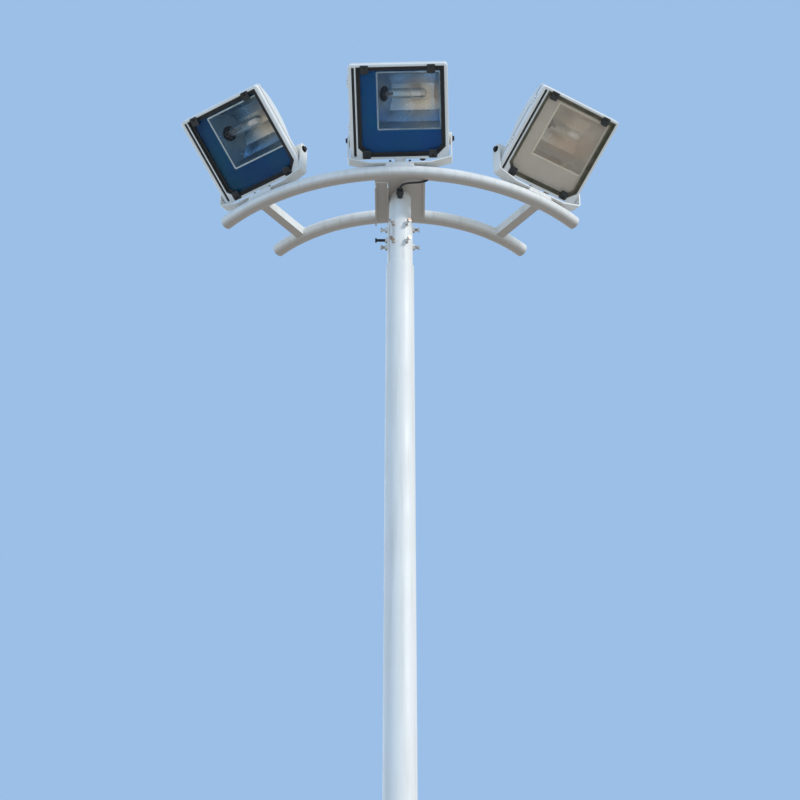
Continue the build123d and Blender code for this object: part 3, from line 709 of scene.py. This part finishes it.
# %% Gasket in the slot behind each door
door_width, door_height = 0.424, 0.414
door_centre_y = 0.140
door_front_z, door_back_z = 0.075, 0.053
slot_depth = 0.004
gasket_setback = 0.0012
gasket_width = 0.0042
gasket_centre = (0, door_centre_y, door_back_z - slot_depth + 0.0002)
gasket_size = (door_width - 2 * gasket_setback, door_height - 2 * gasket_setback)
gasket_rise = slot_depth - 0.0004
gasket = flat_ring("door_gasket", gasket_centre, gasket_size, 0.0148, 6, gasket_width, gasket_rise)
close_piece(gasket, black_rubber)
put_on_lamps(gasket, "door_gasket")

# %% [markdown]
# ## Seal in the hinge rail
# The door's left edge carries a groove beside the hinge rail. A round rubber cord lies in it, so
# from below the rim reads as a white line, a dark line and a white line again. A cylinder with its
# two ends bevelled is enough.

# %% Round seal in the groove
groove_x = -door_width / 2 + 0.021
groove_length = door_height - 0.034
seal_place = (groove_x, door_centre_y, door_front_z - 0.0062)
seal = new_cylinder(
    "hinge_seal", 16, radius=0.0056, depth=groove_length, location=seal_place, rotation=along_y
)
seal_end = groove_length / 2 - 0.001
pick(seal, "EDGE", lambda edge: abs(middle(edge).y - door_centre_y) > seal_end)
bpy.ops.mesh.bevel(offset=0.0015, segments=2)
close_piece(seal, black_rubber)
put_on_lamps(seal, "hinge_seal")

# %% [markdown]
# ## Black lip round the glass
# A rubber lip presses on the glass all round the opening and folds out over the door's edge, so a
# broad black outline parts the white door from the mask. The opening's two lower corners are cut
# across, and a bisect with its outer side cleared cuts the lip in the same way. Two insets give
# the wall and the lip; the wall is raised to the door's face and its top is pushed outwards.

# %% Lip on the glass
opening_left, opening_right = -0.174, 0.193
opening_foot, opening_head = -0.051, 0.331
corner_cut = 0.038
glass_front_z = 0.066
lip_width = 0.0130
lip_rise = 0.0023
wall_thickness = 0.0015
flap_width = 0.0045
flap_rise = 0.0010
fit_gap = 0.0002


def inside_outline(point):
    """How far a point lies inside the opening's outline, whose lower corners are cut."""
    to_left, to_right = point.x - opening_left, opening_right - point.x
    to_foot, to_head = point.y - opening_foot, opening_head - point.y
    to_cut = (min(to_left, to_right) + to_foot - corner_cut) / sqrt(2)
    return min(to_left, to_right, to_foot, to_head, to_cut)


opening_centre_x = (opening_left + opening_right) / 2
opening_centre_y = (opening_foot + opening_head) / 2
lip = new_plane(
    "glass_lip",
    (opening_centre_x, opening_centre_y, glass_front_z + fit_gap),
    opening_right - opening_left - 2 * fit_gap,
    opening_head - opening_foot - 2 * fit_gap,
)
for side, corner_x in ((-1, opening_left), (1, opening_right)):
    select_whole()
    bpy.ops.mesh.bisect(
        plane_co=(corner_x - side * corner_cut, opening_foot + fit_gap, glass_front_z),
        plane_no=(side, -1, 0),
        clear_outer=True,
    )
select_whole()
bpy.ops.mesh.inset(thickness=wall_thickness)
bpy.ops.mesh.inset(thickness=lip_width - wall_thickness)
hollow(lip)
extrude(z=lip_rise)
wall_reach = 2 * wall_thickness
pick(lip, "FACE", lambda face: face.normal.z > 0.99 and inside_outline(middle(face)) < wall_reach)
for rise in (door_front_z - glass_front_z - lip_rise, flap_rise):
    extrude(z=rise)


def on_wall_top(face):
    """Whether a face is on the outer side of the wall, above the door's face."""
    above_door = middle(face).z > door_front_z + 0.0003
    return above_door and abs(face.normal.z) < 0.1 and inside_outline(middle(face)) < 2 * fit_gap


pick(lip, "FACE", on_wall_top)
push_out = {"value": flap_width, "use_even_offset": True}
bpy.ops.mesh.extrude_region_shrink_fatten(TRANSFORM_OT_shrink_fatten=push_out)
close_piece(lip, black_rubber)
print("lip from", Vector(lip.bound_box[0]), "to", Vector(lip.bound_box[6]))
put_on_lamps(lip, "glass_lip")
bpy.data.objects["right_glass_lip"].data.materials[0] = solid["dusty_rubber"]

# %% [markdown]
# ## Bright edge of the window
# The reflector's flange turns out over the mask, and its rim catches the light as a thin bright
# line round the window. It is another ring, made as the gasket was. The middle lamp's is painted
# duller and darker, a painted shade, and the right one's is cream.

# %% Flange round the window
window_left, window_right = -0.087, 0.175
window_foot, window_head = 0.063, 0.304
trim_width = 0.0065
trim_rise = 0.0018
window_centre_x = (window_left + window_right) / 2
window_centre_y = (window_foot + window_head) / 2
trim_centre = (window_centre_x, window_centre_y, door_back_z + fit_gap / 4)
trim_size = (window_right - window_left + 2 * trim_width, window_head - window_foot + 2 * trim_width)
trim = flat_ring("window_trim", trim_centre, trim_size, 0.008, 4, trim_width, trim_rise)
close_piece(trim, metals["bright_trim"])
put_on_lamps(trim, "window_trim")
# the middle rim gets the painted shade
bpy.data.objects["middle_window_trim"].data.materials[0] = metals["painted_shade_trim"]
bpy.data.objects["right_window_trim"].data.materials[0] = solid["cream_trim"]

# %% [markdown]
# ## Screws
# One pan-head screw serves the clips and the gear cover: a short cylinder whose rim is bevelled
# round, with a socket sunk by an inset and an extrusion.


# %% Pan-head screw
def pan_screw(name, radius, height, finish):
    """A screw head that stands on z = 0, with a socket."""
    head = new_cylinder(name, 24, radius, height, location=(0, 0, height / 2))
    pick(head, "EDGE", lambda edge: middle(edge).z > height * 0.9)
    bpy.ops.mesh.bevel(offset=height * 0.45, segments=3)
    pick(head, "FACE", lambda face: face.normal.z > 0.99 and len(face.verts) > 8)
    bpy.ops.mesh.inset(thickness=radius * 0.28)
    extrude(z=-height * 0.5)
    return close_piece(head, finish)


clip_low, clip_high = lamp_box("corner_clips")
clip_x = clip_high.x - 0.018
clip_rim_y = 0.010
clip_screws = [
    at(side * clip_x, y, clip_high.z)
    for side in (-1, 1)
    for y in (clip_low.y + clip_rim_y, clip_high.y - clip_rim_y)
]
clip_screw = pan_screw("clip_screw", 0.0052, 0.0032, metals["black_steel"])
put_on_lamps(clip_screw, "clip_screws", clip_screws)

cover_back_z = -0.033
cover_screw_x, cover_screw_ys = 0.151, (-0.033, 0.039)
turned_back = Matrix.Rotation(radians(180), 4, "X")
cover_screws = [
    at(side * cover_screw_x, y, cover_back_z) @ turned_back for side in (-1, 1) for y in cover_screw_ys
]
cover_screw = pan_screw("cover_screw", 0.0058, 0.0036, metals["zinc_steel"])
put_on_lamps(cover_screw, "gear_cover_screws", cover_screws)

# %% [markdown]
# ## Latch
# The block at the foot of the door carries an over-centre lever. It is folded from a strip:
# a thin block whose outer end is extruded twice, out and then forward, to make the finger lip.

# %% Latch lever
latch_width = 0.034
latch_foot_y = door_centre_y - door_height / 2
lever_thickness = 0.0022
lever_z = door_front_z - 0.002 + lever_thickness / 2
clean_start()
bpy.ops.mesh.primitive_cube_add(size=1, location=(0, latch_foot_y + 0.001, lever_z))
bpy.context.object.scale = (latch_width, 0.018, lever_thickness)
lever = edit_new("latch_lever")
pick(lever, "FACE", lambda face: face.normal.y < -0.9)
extrude(y=-0.005, z=0.0008)
extrude(y=-0.0035, z=0.0032)
bpy.ops.transform.resize(value=(0.72, 1, 1))
pick(lever, "EDGE", lambda edge: True)
bpy.ops.mesh.bevel(offset=0.0005, segments=2)
close_piece(lever, painted["door_white"])
put_on_lamps(lever, "latch_lever")

# %% [markdown]
# ## Hinge pins
# The two barrels on the door's left edge turn on steel pins. A pin is a rod with a domed head at
# each end; two dark rings mark where one knuckle meets the next.

# %% Pins and knuckle gaps
hinge_ys = [0.070, 0.270]
hinge_length = 0.044
hinge_radius = 0.0065
hinge_places = [at(-door_width / 2, y, door_back_z + hinge_radius) for y in hinge_ys]
pin = new_cylinder("hinge_pin", 20, radius=0.0032, depth=hinge_length + 0.006, rotation=along_y)
pick(pin, "EDGE", lambda edge: abs(middle(edge).y) > hinge_length / 2 + 0.0025)
bpy.ops.mesh.bevel(offset=0.0018, segments=3)
close_piece(pin, metals["zinc_steel"])
put_on_lamps(pin, "hinge_pins", hinge_places)

ring = new_ring("knuckle_gap", 28, 6, radius=hinge_radius, thickness=0.0006, rotation=along_y)
close_piece(ring, black_rubber)
gap_places = [place @ at(0, step * hinge_length / 6, 0) for place in hinge_places for step in (-1, 1)]
put_on_lamps(ring, "knuckle_gaps", gap_places)

# %% [markdown]
# ## Lead entry
# A black gland screws into the boss under the gear box: a flange, a neck and a domed cap nut.
# Starting from a short cylinder, each step is an extrusion of its end face, made wider or narrower.

# %% Gland under the gear box
gland_place = at(0.096, -0.0690, 0.0115) @ z_to_minus_y
gland_steps = ((0.0, 0.82), (0.004, 1.0), (0.0, 1.14), (0.008, 1.0), (0.003, 0.80), (0.0015, 0.62))
gland = new_cylinder("lead_gland", 24, radius=0.0135, depth=0.006, location=(0, 0, 0.003))
draw_out(gland, gland_steps)
pick(gland, "FACE", lambda face: face.normal.z > 0.99 and middle(face).xy.length < 0.002)
bpy.ops.mesh.inset(thickness=0.0015)
extrude(z=-0.006)
close_piece(gland, black_plastic)
put_on_lamps(gland, "lead_gland", [gland_place])

# %% [markdown]
# ## Inside the bulb
# A metal-halide bulb is a clear envelope round a small arc tube, which two wires hold on a glass
# stem. The arc tube is a cylinder whose ends are drawn in by extrusion and scaling, and the wires
# are rods with a bend, made the same way.

# %% Arc tube and its frame
bulb_low, bulb_high = lamp_box("bulb")
bulb_axis = (bulb_low + bulb_high) / 2
arc_tube = new_cylinder("arc_tube", 24, radius=0.0130, depth=0.036)
for end in (-1, 1):
    draw_out(arc_tube, ((0.005, 0.72), (0.003, 0.45), (0.006, 1.0)), end)
# the arc tube's bright salmon is a painted glint
close_piece(arc_tube, solid["ceramic"])
arc_place = at(bulb_axis.x + 0.054, bulb_axis.y, bulb_axis.z) @ z_to_x
put_on_lamps(arc_tube, "arc_tube", [arc_place])

wire = new_cylinder("support_wire", 8, radius=0.0012, depth=0.105)
pick(wire, "FACE", lambda face: face.normal.z > 0.99)
extrude(x=0.004, z=0.006)
extrude(x=0.008, z=0.001)
close_piece(wire, metals["zinc_steel"])
beside_arc = at(-0.0165, 0, 0)
wire_middle = at(bulb_axis.x - 0.006, bulb_axis.y, bulb_axis.z) @ z_to_x
wire_places = [wire_middle @ Matrix.Rotation(radians(turn), 4, "Z") @ beside_arc for turn in (40, 220)]
put_on_lamps(wire, "support_wires", wire_places)

# %% [markdown]
# ## Holder ring
# The reflector's left wall leans, and a black iron ring lies on it to close the hole round the
# porcelain holder. Its near-black is a painted shade: it is the dark circle that shows through the
# glass. An inset on both ends of a low cylinder and a bridge between the two make the hole.

# %% Ring on the leaning wall
holder_low, holder_high = lamp_box("lamp_holder")
holder_axis = (holder_low + holder_high) / 2
ring_inner, ring_outer, ring_thick = 0.0255, 0.0330, 0.005
wall_lean = atan2(0.060, 0.116)
wall_x = holder_high.x - 0.008
holder_ring = new_cylinder("holder_ring", 48, ring_outer, ring_thick)
pick(holder_ring, "FACE", lambda face: abs(face.normal.z) > 0.99)
bpy.ops.mesh.inset(thickness=ring_outer - ring_inner)
bpy.ops.mesh.bridge_edge_loops()
rim_z, rim_radius = ring_thick * 0.45, 0.030
pick(holder_ring, "EDGE", lambda edge: middle(edge).z > rim_z and middle(edge).xy.length > rim_radius)
bpy.ops.mesh.bevel(offset=0.002, segments=3)
# near-black as painted shade round the holder
close_piece(holder_ring, solid["painted_shade_iron"])
onto_wall = Matrix.Rotation(radians(90) - wall_lean, 4, "Y")
ring_place = at(wall_x + 0.004, holder_axis.y, holder_axis.z) @ onto_wall
put_on_lamps(holder_ring, "holder_ring", [ring_place])

# %% [markdown]
# ## Stem
# Inside the bulb's neck the wires stand on a brown glass stem, pinched in the middle where the
# glass was pressed round them. It is drawn out of a cylinder's end, step by step.

# %% Stem inside the neck
stem = new_cylinder("bulb_stem", 24, radius=0.0135, depth=0.010)
draw_out(stem, ((0.006, 0.86), (0.010, 0.68), (0.012, 0.80), (0.003, 1.15), (0.002, 0.70)))
close_piece(stem, solid["stem_glass"])
stem_place = at(holder_high.x - 0.006, holder_axis.y, holder_axis.z) @ z_to_x
put_on_lamps(stem, "bulb_stem", [stem_place])

# %% [markdown]
# ## Nuts on the yoke feet
# Two studs stand up through each yoke's foot. A nut is a chamfered hexagon on a washer, and the
# stud's end is extruded out of its top face and bevelled. The nuts belong to the mast, because
# they stay where they are when a lamp tilts.


# %% Hexagon head with its washer
def hex_head(name, head_radius, head_height, washer_radius, washer_height, finish):
    """A washer on z = 0 with a chamfered hexagon on it."""
    head = new_cylinder(name, 32, washer_radius, washer_height, location=(0, 0, washer_height / 2))
    pick(head, "EDGE", lambda edge: middle(edge).z > washer_height * 0.9)
    bpy.ops.mesh.bevel(offset=washer_height * 0.25, segments=1)
    bpy.ops.mesh.select_all(action="DESELECT")
    head_centre = (0, 0, washer_height + head_height / 2)
    bpy.ops.mesh.primitive_cylinder_add(
        vertices=6, radius=head_radius, depth=head_height, location=head_centre
    )
    top_z = washer_height + head_height
    pick(head, "EDGE", lambda edge: middle(edge).z > top_z - 1e-5)
    bpy.ops.mesh.bevel(offset=head_height * 0.16, segments=2)
    return close_piece(head, finish, 25)


yoke_foot_top = -0.142
stud_spread = 0.042
stud_height = 0.026
foot_nut = hex_head("foot_nut", 0.0110, 0.0100, 0.0140, 0.0025, metals["black_steel"])
bpy.ops.object.mode_set(mode="EDIT")
pick(foot_nut, "FACE", lambda face: face.normal.z > 0.99 and middle(face).z > 0.012)
bpy.ops.mesh.inset(thickness=0.0032)
extrude(z=stud_height - 0.0125)
pick(foot_nut, "EDGE", lambda edge: middle(edge).z > stud_height - 1e-4)
bpy.ops.mesh.bevel(offset=0.0012, segments=1)
close_piece(foot_nut, metals["black_steel"], 25)
nut_places = [
    at(side * stud_spread, 0, yoke_foot_top) @ Matrix.Rotation(radians(17 * side), 4, "Z")
    for side in (-1, 1)
]
for lamp in lamps:
    on_foot = [yoke_frame(lamp) @ place for place in nut_places]
    put(foot_nut, f"{lamp}_yoke_nuts", on_foot, "mast")
bpy.data.objects.remove(foot_nut)
print("yoke nuts on", len(lamps), "feet")

# %% [markdown]
# ## Weld beads, round ones
# Where a tube meets a plate there is a ring of weld, a little rippled from the welder's hand.
# A torus lies in the corner, and every other pair of its rings is swollen along its normals.


# %% Round beads
def round_bead(name, radius, bead, z, ripples):
    """A rippled ring of weld round the mast's axis at a height."""
    ring = new_ring(name, ripples * 4, 8, radius, bead, location=(0, 0, z))
    step = radians(360 / (ripples * 4))
    pick(ring, "VERT", lambda vert: round(atan2(vert.co.y, vert.co.x) / step) % 4 < 2)
    bpy.ops.transform.shrink_fatten(value=bead * 0.14)
    ride_mast(close_piece(ring, painted["white_paint"], 60))


stub_low, stub_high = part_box("head_stub")
collar_low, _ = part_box("head_collar")
_, flange_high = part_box("base_flange")
shaft_low, shaft_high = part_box("mast_shaft")
stub_radius = (stub_high.x - stub_low.x) / 2
foot_radius = (shaft_high.x - shaft_low.x) / 2
round_bead("saddle_weld", stub_radius + 0.001, 0.0032, stub_high.z - 0.0015, 56)
round_bead("collar_weld", 0.0545, 0.0032, collar_low.z + 0.0012, 60)
round_bead("foot_weld", foot_radius + 0.001, 0.0040, flange_high.z + 0.0015, 74)
print("round beads at", stub_high.z, collar_low.z, flange_high.z)

# %% [markdown]
# ## Weld beads that follow a saddle
# The ties are coped to the round tubes, so their weld climbs and falls. The outline of the tie is
# drawn as a loop of edges, projected onto the tube with a Shrinkwrap modifier, and turned into a
# thin tube by way of a curve. The same trick seats the beads round the yoke pads.

# %% Beads on the headframe tubes
weld_bead = 0.0030
tie_loop = 0.043
tie_turn = 36
pad_loop_length, pad_loop_width = 0.122, 0.046


def projected_bead(name, target, place, width, length):
    """A rounded rectangle of weld, dropped along the place's -z onto the target node."""
    new_plane(name, (0, 0, 0), width, length)
    select_whole()
    bpy.ops.mesh.bevel(offset=0.003, segments=3, affect="VERTICES")
    bpy.ops.mesh.delete(type="ONLY_FACE")
    select_whole()
    bpy.ops.mesh.subdivide(number_cuts=8)
    bpy.ops.object.mode_set(mode="OBJECT")
    loop = bpy.context.object
    loop.matrix_world = place
    wrap = loop.modifiers.new("drop", "SHRINKWRAP")
    wrap.wrap_method = "PROJECT"
    wrap.use_project_z = True
    wrap.use_positive_direction = False
    wrap.use_negative_direction = True
    wrap.target = nodes[target]
    bpy.ops.object.modifier_apply(modifier="drop")
    bpy.ops.object.convert(target="CURVE")
    loop = bpy.context.object
    loop.data.bevel_depth = weld_bead
    loop.data.bevel_resolution = 2
    bpy.ops.object.convert(target="MESH")
    bpy.ops.object.transform_apply(location=True, rotation=True, scale=True)
    bpy.ops.object.mode_set(mode="EDIT")
    ride_mast(close_piece(bpy.context.object, painted["white_paint"], 60))


for side, label in ((-1, "left"), (1, "right")):
    angle = radians(tie_turn * side)
    outward = Vector((sin(angle), -cos(angle), 0))
    half_way = arc_centre + outward * (arc_radius - arc_spacing / 2)
    for toward, node_name in ((-1, "inner_arc"), (1, "outer_arc")):
        place = stand(half_way, upright, outward * -toward)
        projected_bead(f"{label}_tie_weld_{node_name}", node_name, place, tie_loop, tie_loop)

for lamp in lamps:
    projected_bead(f"{lamp}_pad_weld", "outer_arc", yoke_frame(lamp), pad_loop_length, pad_loop_width)
print("projected beads: 4 on the ties, 3 round the pads")

# %% [markdown]
# ## The supply gland's ribs
# Turned plastic glands have ribs that a glove can grip. Three rings round the CAD gland do it.

# %% Rings on the supply gland
rib = new_ring("gland_rib", 32, 8, radius=0.0122, thickness=0.0016, rotation=along_y)
select_whole()
bpy.ops.transform.resize(value=(1, 1.4, 1))
close_piece(rib, black_plastic)
rib_places = [at(0, supply_low.y + step, supply_z) for step in (0.003, 0.008, 0.013)]
put_on_mast(rib, "supply_gland_ribs", rib_places)

# %% [markdown]
# ## Down at the foot
# The hand hole's cover is held by two screws, and beside it an earthing stud stands on a small
# welded boss. Both are pieces that were made above, in other sizes.

# %% Cover screws and earthing stud
cover_low, cover_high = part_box("hand_hole_cover")
cover_middle_z = (cover_low.z + cover_high.z) / 2
screw_reach = (cover_high.z - cover_low.z) / 2 - 0.014
hand_hole_screws = [
    at(0, cover_low.y + 0.0003, cover_middle_z + side * screw_reach) @ z_to_minus_y for side in (-1, 1)
]
hand_hole_screw = pan_screw("hand_hole_screw", 0.0075, 0.0045, metals["zinc_steel"])
put_on_mast(hand_hole_screw, "hand_hole_screws", hand_hole_screws)

earth_z = 0.34
earth_x = foot_radius - 0.0012
stud = hex_head("earth_stud", 0.0095, 0.0070, 0.0160, 0.0100, metals["zinc_steel"])
put_on_mast(stud, "earthing_stud", [at(earth_x, 0, earth_z) @ z_to_x])

# %% [markdown]
# ## The long seam
# The pole's seam runs up its back: plate rolled to a cone is closed by one weld. A thin cylinder
# leans as the cone does, and is cut into many lengths so that it shades evenly.

# %% Seam up the back of the pole
top_radius = 0.059
mast_height = shaft_high.z
seam_rise = mast_height - flange_high.z
seam_lean = atan2(foot_radius - top_radius, seam_rise)
seam_y = (foot_radius + top_radius) / 2 - 0.0008
seam_centre = (0, seam_y, (mast_height + flange_high.z) / 2)
seam_place = {"location": seam_centre, "rotation": (seam_lean, 0, 0)}
seam = new_cylinder("mast_seam", 10, radius=0.0024, depth=seam_rise - 0.004, **seam_place)
pick(seam, "EDGE", lambda edge: abs((edge.verts[0].co - edge.verts[1].co).z) > 1)
bpy.ops.mesh.subdivide(number_cuts=60)
ride_mast(close_piece(seam, painted["white_paint"], 60))
print("long seam leans", seam_lean)

# %% [markdown]
# ## Floor
# The mast stands on a plain pale floor, which also sends warm light up under the tubes. It is a
# grid, so large that no edge shows.

# %% Floor
floor_finish = new_finish("pale_floor", (0.56, 0.53, 0.48), 0.85)
speckle = pattern(floor_finish, 45.0, detail=6.0)
cloud_over(floor_finish, speckle, (0.57, 0.54, 0.49), (0.54, 0.51, 0.46), end=0.65)
clean_start()
bpy.ops.mesh.primitive_grid_add(x_subdivisions=8, y_subdivisions=8, size=160, location=(0, 0, -0.001))
floor = edit_new("floor")
close_piece(floor, floor_finish)
print("floor:", floor.dimensions)

# %% [markdown]
# ## Lights and sky
# The key light is a soft sun from the right, so the pole is white on that side and a cool blue
# grey on the other, where a wide, weak sun stands in for the open sky. A third one lifts the back.
# The background is a pale blue that the camera, glass and metal see, while the lighting itself
# stays nearer neutral: a Light Path node tells the two apart.


# %% Lights and world
def sun(name, toward, strength, spread_angle, colour):
    """A sun whose light comes from the direction toward."""
    light = bpy.data.lights.new(name, "SUN")
    light.energy = strength
    light.angle = radians(spread_angle)
    light.color = colour
    holder = bpy.data.objects.new(name, light)
    holder.rotation_euler = Vector(toward).to_track_quat("Z", "Y").to_euler()
    bpy.context.scene.collection.objects.link(holder)


sun("key", (0.66, -0.44, 0.61), 2.05, 12.0, (1.0, 0.985, 0.95))
sun("front_fill", (-0.68, -0.70, 0.20), 0.68, 40.0, (0.26, 0.56, 1.0))
sun("back_fill", (-0.35, 0.85, 0.40), 0.70, 50.0, (0.86, 0.93, 1.0))

sky = bpy.data.worlds.new("pale_sky")
bpy.context.scene.world = sky
sky.use_nodes = True
fill = sky.node_tree.nodes["Background"]
fill.inputs["Color"].default_value = (0.66, 0.83, 1.0, 1)
fill.inputs["Strength"].default_value = 0.66
seen = add_node(sky, "ShaderNodeBackground", {"Color": (0.33, 0.52, 0.80, 1)})
rays = add_node(sky, "ShaderNodeLightPath").outputs
any_seen = calculate("MAXIMUM", rays["Is Camera Ray"], rays["Is Glossy Ray"])
any_seen = calculate("MAXIMUM", any_seen, rays["Is Transmission Ray"])
either = {0: any_seen, 1: fill.outputs[0], 2: seen.outputs[0]}
sky_mix = add_node(sky, "ShaderNodeMixShader", either).outputs[0]
sky.node_tree.links.new(sky_mix, sky.node_tree.nodes["World Output"].inputs["Surface"])
print("lights:", [light.name for light in bpy.data.lights])

# %% [markdown]
# ## Camera
# The photograph looks up at the headframe by about 40 degrees. The camera stands ten metres from
# the head at eye height, and is tipped a little lower than the line to the head, so that the head
# sits in the upper half of the picture with the pole running down out of it.

# %% Camera
head_centre = Vector((0, -0.10, 7.78))
look_up = radians(40)
lens_drop = radians(5.8)
distance = 10.0
camera_data = bpy.data.cameras.new("camera")
camera_data.lens = 104
camera = bpy.data.objects.new("camera", camera_data)
camera.location = head_centre - distance * Vector((0, cos(look_up), sin(look_up)))
tip = look_up - lens_drop
camera.rotation_euler = Vector((0, -cos(tip), -sin(tip))).to_track_quat("Z", "Y").to_euler()
bpy.context.scene.collection.objects.link(camera)
bpy.context.scene.camera = camera
bpy.context.scene.view_settings.view_transform = "Standard"
print("camera at", camera.location, "frame width there", 2 * distance * tan(camera_data.angle / 2))

# %% [markdown]
# ## The end
# The last call leaves edit mode and selects nothing.

# %% The end
clean_start()
